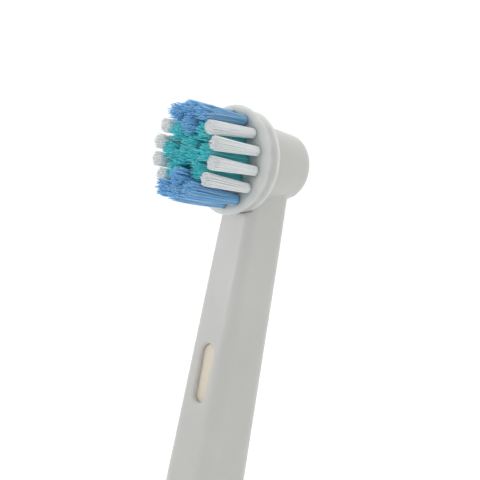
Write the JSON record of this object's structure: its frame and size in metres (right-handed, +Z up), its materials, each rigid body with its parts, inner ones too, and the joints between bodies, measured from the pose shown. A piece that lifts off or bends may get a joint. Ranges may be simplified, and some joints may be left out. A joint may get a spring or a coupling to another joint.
{
  "type": "electric toothbrush head",
  "caption": "Round oscillating toothbrush head: a tufted disc that swings on a slim hollow neck, driven by a bent rod, with a socket that pushes on to a powered handle.",
  "frame": {"origin": "on the drive axis, at the mouth of the socket for the handle, in the plane of the base", "axes": "+Z up the neck to the head, -Y the way the bristles face, X across the neck"},
  "size_m": [0.014, 0.0211, 0.0767],
  "materials": {
    "neck_plastic": "satin",
    "core_plastic": "satin",
    "ring_plastic": "satin",
    "coupling_plastic": "satin",
    "steel": "satin",
    "carrier_plastic": "satin",
    "anchor_metal": "satin",
    "bristle_white": "satin",
    "bristle_blue": "satin",
    "bristle_teal": "satin"
  },
  "bodies": {
    "neck": {"neck_housing": "neck_plastic", "core_insert": "core_plastic", "ident_ring": "ring_plastic", "retaining_washer": "coupling_plastic", "retaining_pin": "steel"},
    "shaft": {"drive_coupling": "coupling_plastic", "drive_rod": "steel", "spring_clip": "steel"},
    "brush": {"bristle_carrier": "carrier_plastic", "tuft_anchors": "anchor_metal", "white_tuft_01": "bristle_white", "white_tuft_02": "bristle_white", "white_tuft_03": "bristle_white", "white_tuft_04": "bristle_white", "white_tuft_05": "bristle_white", "white_tuft_06": "bristle_white", "white_tuft_07": "bristle_white", "white_tuft_08": "bristle_white", "blue_tuft_01": "bristle_blue", "blue_tuft_02": "bristle_blue", "blue_tuft_03": "bristle_blue", "blue_tuft_04": "bristle_blue", "blue_tuft_05": "bristle_blue", "blue_tuft_06": "bristle_blue", "blue_tuft_07": "bristle_blue", "blue_tuft_08": "bristle_blue", "teal_tuft_01": "bristle_teal", "teal_tuft_02": "bristle_teal", "teal_tuft_03": "bristle_teal", "teal_tuft_04": "bristle_teal", "teal_tuft_05": "bristle_teal", "teal_tuft_06": "bristle_teal", "teal_tuft_07": "bristle_teal", "teal_tuft_08": "bristle_teal", "teal_tuft_09": "bristle_teal"}
  },
  "joints": [
    {"name": "shaft_turn", "type": "hinge", "parent": "neck", "child": "shaft", "pos_m": [0, 0, 0.03], "axis": [0, 0, 1], "range_deg": [-22.5, 22.5]},
    {"name": "brush_swing", "type": "hinge", "parent": "neck", "child": "brush", "pos_m": [0, 0, 0.07], "axis": [0, -1, 0], "range_deg": [-22.5, 22.5]}
  ],
  "couplings": [
    {"joint": "shaft_turn", "follows": "brush_swing", "ratio": 1}
  ]
}
